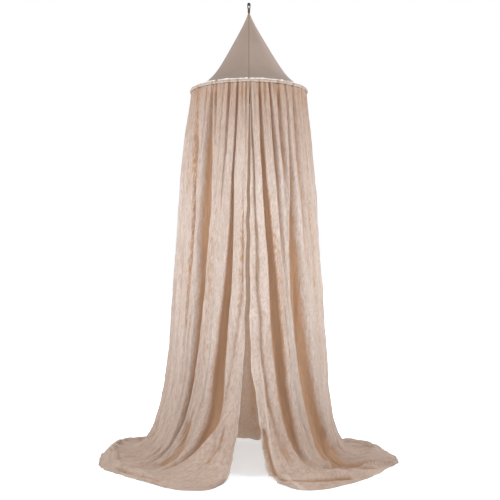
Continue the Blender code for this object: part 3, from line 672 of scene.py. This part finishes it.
def cone_radii(angles, rows):
    """Radii of the cone's cloth at these angles, in rows from 0 at the hoop to 1 at the tip."""
    spread = 1 - rows[:, None]
    straight = CONE_STRAIGHT - CONE_LEAN * np.sin(angles)[None]
    share = spread * (straight + (1 - straight) * spread**CONE_FLARE)
    radii = CONE_TIP_RADIUS + (CONE_BASE_RADIUS - CONE_TIP_RADIUS) * share
    power = CONE_SECTION_POWER + (2 - CONE_SECTION_POWER) * spread**CONE_FLARE
    sideways, frontwards = abs(np.sin(angles))[None], abs(np.cos(angles))[None]
    section = radii / (sideways**power + frontwards**power) ** (1 / power)
    pinch = (1 - (2 * rows - 1) ** PINCH_POWER) * (PINCH_AT_HOOP + PINCH_GAIN * rows)
    return section - CONE_PINCH * pinch[:, None]


def add_cone(material):
    rows = np.linspace(0, 1, CONE_ROWS) ** CONE_CROWDING
    base_z = HOOP_Z + CONE_BASE_HEIGHT
    heights = base_z + (CONE_TIP_Z - base_z) * rows
    for quarter, name in enumerate(GORES):
        turns = np.linspace(90 * quarter, 90 * quarter + 90, CONE_COLUMNS)
        angles = np.radians(turns)
        radii = cone_radii(angles, rows)
        from_seam = np.minimum(angles - angles[0], angles[-1] - angles)[None] * radii
        groove = SEAM_DEPTH * np.exp(-((from_seam / SEAM_WIDTH) ** 2))
        allowance = ALLOWANCE_HEIGHT * np.exp(-(((from_seam - ALLOWANCE_PLACE) / ALLOWANCE_WIDTH) ** 2))
        points = round_the_hoop(turns[None], radii - groove + allowance, heights[:, None])
        gore = add_grid(name.replace("cone_gore", "gore") + "_cloth", points, material, flip=True)
        set_values(gore, "seam", from_seam)
        # which side of the cone a point is on, for its painted shade on the left and painted highlight on the
        # right
        set_values(gore, "side", -np.sin(angles)[None] + 0 * radii)
        fit(gore, name)


# Casing, frill, loop


def add_casing(material):
    turns = np.linspace(0, 360, CASING_AROUND, endpoint=False)
    angles = np.radians(np.linspace(0, 360, CASING_SIDES, endpoint=False))[None]
    puckers = rolling(np.arange(CASING_AROUND)[:, None], angles, CASING_PUCKERS)
    reach = CASING_OUTER - CASING_INSET + CASING_PUCKER * puckers
    radii = HOOP_RADIUS + reach * np.cos(angles)
    points = round_the_hoop(turns[:, None], radii, HOOP_Z + reach * np.sin(angles))
    casing = add_grid("casing_cloth", points, material, close_rows=True, close_columns=True)
    # painted shade in the casing where the curtain's valleys meet it and in its puckers
    folds = valley_depth(turns, np.full_like(turns, VALLEY_STEPS[0]), all_valleys()) / CASING_DEEP_FOLD
    set_values(casing, "fold", np.clip(folds[:, None] + CASING_PUCKER_SHADE * puckers, 0, 1))
    fit(casing, "hoop_casing")


def add_frill(material):
    low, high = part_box("heading_frill")
    turns = np.linspace(0, 360, FRILL_AROUND, endpoint=False)[None]
    count = np.arange(FRILL_AROUND)[None]
    rows = np.linspace(0, 1, FRILL_ROWS)[:, None]
    radii = HOOP_RADIUS + FRILL_OUTSET + rolling(count, 0, FRILL_SWAY) * rows
    tall = high[2] - low[2] - FRILL_LOWERED + rolling(count, 0, FRILL_TOP)
    heights = low[2] - FRILL_ROOT + tall * rows
    frill = add_grid("frill_cloth", round_the_hoop(turns, radii, heights), material, close_columns=True)
    # painted shade of small folds, at random places along the frill
    folds = ease(rolling(count, 0, FRILL_FOLDS), *FRILL_FOLD_RANGE)
    set_values(frill, "fold", folds + 0 * heights)
    fit(frill, "heading_frill")


def rounded_ring(points, steps):
    """A closed curve through the points, with this many steps from each to the next."""
    fine = np.arange(len(points) * steps) / steps
    index = fine.astype(int)
    part = (fine - index)[:, None]
    p0, p1, p2, p3 = (points[(index + ahead) % len(points)] for ahead in (-1, 0, 1, 2))
    bow = 2 * p0 - 5 * p1 + 4 * p2 - p3 + part * (3 * p1 - p0 - 3 * p2 + p3)
    return p1 + 0.5 * part * (p2 - p0 + part * bow)


def add_loop(material):
    right = [(row.half_width, -row.drop, row.tape) for row in LOOP]
    left = [(-x, z, tape) for x, z, tape in right[-2:0:-1]]
    path = rounded_ring(np.array(right + left), LOOP_STEPS)
    places, tapes = path[:, :2], path[:, 2:]
    ahead = np.roll(places, -1, axis=0) - np.roll(places, 1, axis=0)
    ahead /= np.linalg.norm(ahead, axis=1, keepdims=True)
    outwards = np.stack([-ahead[:, 1], ahead[:, 0]], axis=1)
    angles = np.radians(np.linspace(0, 360, TAPE_SIDES, endpoint=False))
    c, s = (np.sign(wave) * abs(wave) ** TAPE_SQUARENESS for wave in (np.cos(angles), np.sin(angles)))
    sections = np.zeros((len(path), TAPE_SIDES, 3))
    half_tape = TAPE_FULLNESS / 2 * tapes * c[None]
    sections[:, :, 0::2] = places[:, None] + outwards[:, None] * half_tape[..., None]
    sections[:, :, 1] = TAPE_DEPTH / 2 * s[None]
    loop = add_grid("loop_tape_woven", sections, material, close_rows=True, close_columns=True)
    fit(loop, "hanging_loop")


# Materials: linear colours

RIDGE_LIGHT, RIDGE_DARK = (0.700, 0.590, 0.532), (0.632, 0.512, 0.443)
CRINKLE_SHADE = (0.42, 0.315, 0.245)
# painted shade, warm and dark, in the valleys of the folds
VALLEY_SHADE = (0.520, 0.310, 0.180)
# painted shade that darkens the cloth towards the floor, and painted shadow just below the casing
LOW_PAINTED_SHADE, TOP_PAINTED_SHADOW = (0.75, 0.71, 0.68), (0.78, 0.70, 0.64)
# painted highlight on the rolled front hems and the right one's stitching, and painted shadow of the hem on
# the floor, with its stitched line
EDGE_HIGHLIGHT, HEM_SHADE = (0.70, 0.61, 0.53), (0.300, 0.222, 0.185)
THROUGH = (0.60, 0.39, 0.26)  # light that has come through the cloth
# CONE_DARK also makes the painted shade on the cone's left half
CONE_LIGHT, CONE_DARK = (0.300, 0.223, 0.180), (0.262, 0.190, 0.150)
CONE_EDGE_HIGHLIGHT, CONE_SEAM = (0.345, 0.262, 0.218), (0.20, 0.145, 0.115)
CASING_PALE, FRILL_PALE, TRIM_SHADE = (0.40, 0.315, 0.265), (0.72, 0.62, 0.56), (0.24, 0.155, 0.10)
TAPE_DARK, TAPE_LIGHT = (0.055, 0.028, 0.016), (0.095, 0.052, 0.032)
PEG_BLACK, ROD_GREY = (0.008, 0.007, 0.007), (0.55, 0.55, 0.56)
FLOOR_PALE, FLOOR_GLOW = (0.78, 0.85, 0.90), (0.88, 0.95, 1)
SHADOW_SHARE = 0.7  # a mottled colour's dark tone, as a share of its light one

# Shares of these colours where they are strongest
CRINKLE_SHARE, CREASE_SHARE = 0.45, 0.35  # of CRINKLE_SHADE, in the hollows
VALLEY_SHADE_SHARE = 0.92
EDGE_HIGHLIGHT_SHARE, HEM_SHARE = 0.45, 0.6
THROUGH_SHARE, THIN_SHARE = 0.7, 0.28  # of THROUGH in the passing light, and of that light in all
CONE_SIDE_SHADE_SHARE, CONE_EDGE_HIGHLIGHT_SHARE = 0.6, 0.7

# Folds, steps down the cloth, places round the cone and distances from its seam over which the colours, the
# painted shades and the painted highlights change
VALLEY_SHADE_FOLDS, TRIM_FOLDS = (0.18, 0.85), (0.2, 0.9)
LOW_SHADE_STEPS, TOP_SHADOW_STEPS = (0.6, 1.5), (0.0, 0.45)
CONE_SIDES, CONE_EDGES = (-0.02, 0.02), (0.55, 0.95)
SEAM_REACH = (0.0012, 0.004)

# Noise values over which the tones that follow them change
PATCH_RANGE = (0.3, 0.7)
CRINKLE_RANGE, HATCHING_RANGE = (0.42, 0.53), (0.42, 0.58)
CRUMB_RANGE = (0.3, 0.6)
GLOSS_RANGE, GLOSS_SPREAD = (0.2, 0.8), 0.08

# Noise over the flat cloth: waves to a metre across and along it, and its make
Grain = namedtuple("Grain", "across along detail roughness distortion", defaults=(0.5, 0.0))
CRINKLE = Grain(140, 52, 4, 0.62, 0.8)
RIPPLES = Grain(34, 14, 3, 0.6, 0.6)
HATCHING = Grain(150, 34, 3, 0.6)
CREASING = Grain(40, 11, 3, 0.6, 1.2)
CRUMBS = Grain(260, 190, 2, 0.6)
PATCHES = Grain(7, 3, 2)
SLANT = math.radians(24)  # of the hatching
CREASE_HALF = 0.05  # half the width of a crease, in the noise that it follows the middle of
CRINKLE_PART, HATCHING_PART = 0.6, 0.4  # of the whole crinkle
# painted shade in the hollows of the ripples and of the crushed zones' hatching, and painted light on the
# ripples' crests
RIPPLE_SHADE, CRUSHED_SHADE = 0.14, 0.75  # what they add to the fold that colours the cloth

CRINKLE_HEIGHT = 0.0050
RIPPLE_RISE, CREASE_RISE, CRUMB_RISE, EDGE_RISE = 0.8, 0.16, 0.22, 0.30  # shares of that height
EDGE_HALF, RIGHT_EDGE_HALF = 0.007, 0.006  # half widths of the rolled front edges
STITCHES_IN, STITCHES_HALF = 0.024, 0.0045
HEM_HALF = 0.009
BAND_CORE = 0.4  # the share of such a half width that is at full strength


class Nodes:
    """Short hand for a material's node tree, in which a value is a socket, a number or a colour."""

    def __init__(self, name):
        self.material = bpy.data.materials.new(name)
        self.material.use_nodes = True
        self.tree = self.material.node_tree
        self.shader = self.tree.nodes["Principled BSDF"]

    def add(self, kind, **settings):
        """A node with its inputs, or else its properties, set by their names."""
        node = self.tree.nodes.new(kind)
        for name, value in settings.items():
            if name in node.inputs:
                node.inputs[name].default_value = value
            else:
                setattr(node, name, value)
        return node

    def link(self, source, target):
        self.tree.links.new(source, target)

    def feed(self, socket, value):
        if isinstance(value, (int, float)):
            socket.default_value = value
        elif isinstance(value, tuple):
            socket.default_value = (*value, 1)
        else:
            self.link(value, socket)

    def surface(self, colour, roughness, sheen=0.0):
        self.feed(self.shader.inputs["Base Color"], colour)
        self.feed(self.shader.inputs["Roughness"], roughness)
        self.feed(self.shader.inputs["Sheen Weight"], sheen)

    def place(self, x=1, y=1, z=1):
        """The object's own coordinates, in metres, stretched by these."""
        return self.scaled(self.add("ShaderNodeTexCoord").outputs["Object"], x, y, z)

    def scaled(self, place, x, y, z):
        node = self.add("ShaderNodeMapping", Scale=(x, y, z))
        self.link(place, node.inputs["Vector"])
        return node.outputs["Vector"]

    def turned(self, place, angle):
        node = self.add("ShaderNodeMapping", Rotation=(0, 0, angle))
        self.link(place, node.inputs["Vector"])
        return node.outputs["Vector"]

    def value(self, name):
        return self.add("ShaderNodeAttribute", attribute_name=name).outputs["Fac"]

    def noise(self, place, scale, detail, roughness=0.5, distortion=0.0):
        node = self.add("ShaderNodeTexNoise", Scale=scale, Detail=detail, Roughness=roughness,
                        Distortion=distortion)
        self.link(place, node.inputs["Vector"])
        return node.outputs["Fac"]

    def grain(self, place, grain):
        stretched = self.scaled(place, grain.across, grain.along, 1)
        return self.noise(stretched, 1, grain.detail, grain.roughness, grain.distortion)

    def math(self, operation, *values):
        node = self.add("ShaderNodeMath", operation=operation)
        for socket, value in zip(node.inputs, values):
            self.feed(socket, value)
        return node.outputs[0]

    def mix(self, share, first, second, blend="MIX"):
        node = self.add("ShaderNodeMix", data_type="RGBA", blend_type=blend)
        for socket, value in zip((node.inputs[0], node.inputs[6], node.inputs[7]), (share, first, second)):
            self.feed(socket, value)
        return node.outputs[2]

    def between(self, value, low, high, start=0.0, end=1.0):
        """From start, where the value is low, smoothly to end, where it is high."""
        node = self.add("ShaderNodeMapRange", interpolation_type="SMOOTHSTEP")
        for name, number in (("From Min", low), ("From Max", high), ("To Min", start), ("To Max", end)):
            node.inputs[name].default_value = number
        self.link(value, node.inputs["Value"])
        return node.outputs["Result"]

    def band(self, value, middle, half):
        """1 in the middle of a band of a value, and 0 outside it."""
        away = self.math("ABSOLUTE", self.math("SUBTRACT", value, middle))
        return self.between(away, BAND_CORE * half, half, 1, 0)

    def bump(self, height, distance, strength=1.0):
        node = self.add("ShaderNodeBump", Strength=strength, Distance=distance)
        self.link(height, node.inputs["Height"])
        self.link(node.outputs["Normal"], self.shader.inputs["Normal"])


def shaded(colour):
    return tuple(SHADOW_SHARE * tone for tone in colour)


def edge_lines(nodes):
    """The front edges' rolled hems and the line of stitches that holds the right edge's wide one."""
    left = nodes.band(nodes.value("left_edge"), 0.0, EDGE_HALF)
    right = nodes.band(nodes.value("right_edge"), 0.0, RIGHT_EDGE_HALF)
    stitched = nodes.band(nodes.value("right_edge"), STITCHES_IN, STITCHES_HALF)
    return nodes.math("MAXIMUM", nodes.math("MAXIMUM", left, right), stitched)


def let_light_through(nodes, colour):
    through = nodes.add("ShaderNodeBsdfTranslucent")
    nodes.link(nodes.mix(THROUGH_SHARE, colour, THROUGH), through.inputs["Color"])
    mix = nodes.add("ShaderNodeMixShader", Fac=THIN_SHARE)
    nodes.link(nodes.shader.outputs[0], mix.inputs[1])
    nodes.link(through.outputs[0], mix.inputs[2])
    nodes.link(mix.outputs[0], nodes.tree.nodes["Material Output"].inputs["Surface"])


def muslin():
    """Crinkled double gauze: tone by the depth of the fold, crinkles along the cloth, and its hems."""
    nodes = Nodes("muslin_crinkled")
    cloth = nodes.add("ShaderNodeAttribute", attribute_name="cloth_place").outputs["Vector"]
    hatching = nodes.grain(nodes.turned(cloth, SLANT), HATCHING)
    ripples = nodes.grain(cloth, RIPPLES)
    crinkle = nodes.math("MULTIPLY", nodes.grain(cloth, CRINKLE), CRINKLE_PART)
    crinkle = nodes.math("ADD", crinkle, nodes.math("MULTIPLY", hatching, HATCHING_PART))
    crease = nodes.math("ABSOLUTE", nodes.math("SUBTRACT", nodes.grain(cloth, CREASING), 0.5))
    crease = nodes.between(crease, 0.0, CREASE_HALF)
    edges = edge_lines(nodes)

    # painted shade in the hollows of the ripples and hatching, and painted light on the ripples' crests
    rippled_shade = nodes.between(ripples, *PATCH_RANGE, RIPPLE_SHADE, -RIPPLE_SHADE)
    hatched_shade = nodes.between(hatching, *HATCHING_RANGE, CRUSHED_SHADE, 0)
    fold = nodes.math("ADD", nodes.value("fold"), rippled_shade)
    fold = nodes.math("ADD", fold, nodes.math("MULTIPLY", nodes.value("crushed"), hatched_shade))
    down = nodes.value("down")
    patches = nodes.grain(cloth, PATCHES)
    colour = nodes.mix(nodes.between(patches, *PATCH_RANGE), RIDGE_DARK, RIDGE_LIGHT)
    colour = nodes.mix(nodes.between(crinkle, *CRINKLE_RANGE, CRINKLE_SHARE, 0), colour, CRINKLE_SHADE)
    colour = nodes.mix(nodes.between(crease, 0, 1, CREASE_SHARE, 0), colour, CRINKLE_SHADE)
    # painted shade in the valleys of the folds and along the creases
    colour = nodes.mix(nodes.between(fold, *VALLEY_SHADE_FOLDS, 0, VALLEY_SHADE_SHARE), colour, VALLEY_SHADE)
    # painted shade towards the floor, and painted shadow below the casing
    colour = nodes.mix(nodes.between(down, *LOW_SHADE_STEPS), colour, LOW_PAINTED_SHADE, "MULTIPLY")
    colour = nodes.mix(nodes.between(down, *TOP_SHADOW_STEPS, 1, 0), colour, TOP_PAINTED_SHADOW, "MULTIPLY")
    # painted highlight on the front hems
    colour = nodes.mix(nodes.math("MULTIPLY", edges, EDGE_HIGHLIGHT_SHARE), colour, EDGE_HIGHLIGHT)
    # painted shadow of the hem on the floor, with its stitched line
    hem = nodes.band(nodes.value("hem"), 0.0, HEM_HALF)
    colour = nodes.mix(nodes.math("MULTIPLY", hem, HEM_SHARE), colour, HEM_SHADE)
    nodes.surface(colour, roughness=0.95, sheen=0.12)

    reliefs = (ripples, crease, nodes.grain(cloth, CRUMBS), edges)
    height = crinkle
    for relief, rise in zip(reliefs, (RIPPLE_RISE, CREASE_RISE, CRUMB_RISE, EDGE_RISE)):
        height = nodes.math("ADD", height, nodes.math("MULTIPLY", relief, rise))
    nodes.bump(height, CRINKLE_HEIGHT)
    let_light_through(nodes, colour)
    return nodes.material


def cone_cotton():
    """Plain weave, with painted shade on its left half, a painted highlight along its right edge, and a dark
    groove at each seam.
    """
    nodes = Nodes("cotton_plain")
    side = nodes.value("side")
    patches = nodes.noise(nodes.place(), scale=8, detail=2)
    weave = nodes.noise(nodes.place(), scale=700, detail=2)
    colour = nodes.mix(nodes.between(patches, *PATCH_RANGE), CONE_DARK, CONE_LIGHT)
    # painted shade on the left half and a painted highlight along the right edge
    colour = nodes.mix(nodes.between(side, *CONE_SIDES, CONE_SIDE_SHADE_SHARE, 0), colour, CONE_DARK)
    colour = nodes.mix(nodes.between(side, *CONE_EDGES, 0, CONE_EDGE_HIGHLIGHT_SHARE), colour, CONE_EDGE_HIGHLIGHT)
    colour = nodes.mix(nodes.between(nodes.value("seam"), *SEAM_REACH), CONE_SEAM, colour)
    nodes.surface(colour, roughness=0.85, sheen=0.15)
    nodes.bump(weave, distance=0.0006, strength=0.6)
    return nodes.material


def trim_cotton(name, colour):
    nodes = Nodes(name)
    crumbs = nodes.noise(nodes.place(), scale=300, detail=3)
    tone = nodes.mix(nodes.between(crumbs, *CRUMB_RANGE), shaded(colour), colour)
    tone = nodes.mix(nodes.between(nodes.value("fold"), *TRIM_FOLDS), tone, TRIM_SHADE)
    nodes.surface(tone, roughness=0.9)
    nodes.bump(crumbs, distance=0.002, strength=0.8)
    return nodes.material


def loop_tape():
    nodes = Nodes("tape_brown")
    ribs = nodes.add("ShaderNodeTexWave", wave_type="BANDS", bands_direction="Z", Scale=260, Distortion=1.5)
    nodes.link(nodes.place(), ribs.inputs["Vector"])
    nodes.surface(nodes.mix(ribs.outputs["Fac"], TAPE_DARK, TAPE_LIGHT), roughness=0.85)
    nodes.bump(ribs.outputs["Fac"], distance=0.0004, strength=0.8)
    return nodes.material


def metal(name, colour, roughness):
    nodes = Nodes(name)
    grain = nodes.noise(nodes.place(z=6), scale=120, detail=3)
    gloss = nodes.between(grain, *GLOSS_RANGE, roughness - GLOSS_SPREAD, roughness + GLOSS_SPREAD)
    nodes.surface(nodes.mix(grain, shaded(colour), colour), gloss)
    nodes.feed(nodes.shader.inputs["Metallic"], 1.0)
    return nodes.material


def dress(node, material):
    """Gives a solid that shows as it was packed its material."""
    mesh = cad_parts[node].data
    mesh.materials.clear()
    mesh.materials.append(material)


# Stage

FLOOR_HALF = 60
GLOW_FROM, GLOW_TO = 1.95, 2.6  # distances from the origin over which the floor fades into the white backdrop
GLOW_LOW, GLOW_FULL = 0.50, 1.0
ROOM_LIGHT = 0.40

Light = namedtuple("Light", "name place target size power")
LIGHTS = (
    Light("left_softbox", (-2.5, -1.5, -0.25), (0, 0, -0.7), (1.2, 1.2), 62),
    Light("right_softbox", (2.5, -1.5, -0.25), (0, 0, -0.7), (1.2, 1.2), 62),
    Light("front_softbox", (0, -4.4, 0.6), (0, 0, -0.7), (2.0, 1.0), 42),
    Light("back_softbox", (0, 3.6, 0.3), (0, 0, -0.9), (2.0, 1.4), 90),
)


def floor_pale():
    nodes = Nodes("floor_pale")
    nodes.surface(FLOOR_PALE, roughness=0.8)
    away = nodes.add("ShaderNodeVectorMath", operation="LENGTH")
    nodes.link(nodes.place(), away.inputs[0])
    glow = nodes.between(away.outputs["Value"], GLOW_FROM, GLOW_TO, GLOW_LOW, GLOW_FULL)
    nodes.feed(nodes.shader.inputs["Emission Color"], FLOOR_GLOW)
    nodes.feed(nodes.shader.inputs["Emission Strength"], glow)
    return nodes.material


def add_floor():
    corners = [(x * FLOOR_HALF, y * FLOOR_HALF, FLOOR_Z) for x, y in ((-1, -1), (1, -1), (1, 1), (-1, 1))]
    add_mesh("floor", corners, [(0, 1, 2, 3)], floor_pale())


def add_light(light):
    lamp = bpy.data.lights.new(light.name, "AREA")
    lamp.shape = "RECTANGLE"
    lamp.size, lamp.size_y = light.size
    lamp.energy = light.power
    thing = bpy.data.objects.new(light.name, lamp)
    thing.location = light.place
    towards = Vector(light.target) - Vector(light.place)
    thing.rotation_euler = towards.to_track_quat("-Z", "Y").to_euler()
    bpy.context.scene.collection.objects.link(thing)


def add_world():
    """White behind everything, and a weaker white as the room's soft light."""
    world = bpy.data.worlds.new("studio")
    world.use_nodes = True
    tree = world.node_tree
    room = tree.nodes["Background"]
    room.inputs["Color"].default_value = (1, 1, 1, 1)
    room.inputs["Strength"].default_value = ROOM_LIGHT
    backdrop = tree.nodes.new("ShaderNodeBackground")
    backdrop.inputs["Color"].default_value = (1, 1, 1, 1)
    backdrop.inputs["Strength"].default_value = 1.0
    path = tree.nodes.new("ShaderNodeLightPath")
    mix = tree.nodes.new("ShaderNodeMixShader")
    tree.links.new(path.outputs["Is Camera Ray"], mix.inputs[0])
    tree.links.new(room.outputs[0], mix.inputs[1])
    tree.links.new(backdrop.outputs[0], mix.inputs[2])
    tree.links.new(mix.outputs[0], tree.nodes["World Output"].inputs["Surface"])
    bpy.context.scene.world = world


def add_camera():
    lens = bpy.data.cameras.new("camera")
    lens.sensor_width = SENSOR_WIDTH
    lens.lens = FOCAL_PIXELS / PHOTO_PIXELS * SENSOR_WIDTH
    lens.shift_x = (PHOTO_PIXELS / 2 - AXIS_PIXEL) / PHOTO_PIXELS
    lens.shift_y = (HORIZON_PIXEL - PHOTO_PIXELS / 2) / PHOTO_PIXELS
    camera = bpy.data.objects.new("camera", lens)
    camera.location = (0, -CAMERA_DISTANCE, FLOOR_Z + CAMERA_HEIGHT)
    camera.rotation_euler = (math.radians(90), 0, 0)
    bpy.context.scene.collection.objects.link(camera)
    bpy.context.scene.camera = camera


add_camera()
add_world()
add_floor()
for light in LIGHTS:
    add_light(light)
bpy.context.scene.view_settings.view_transform = "Standard"

add_curtain(muslin())
add_cone(cone_cotton())
add_casing(trim_cotton("trim_muslin", CASING_PALE))
add_frill(trim_cotton("trim_light", FRILL_PALE))
add_loop(loop_tape())
dress("peg", metal("peg_dark", PEG_BLACK, 0.6))
dress("hoop", metal("rod_steel", ROD_GREY, 0.4))
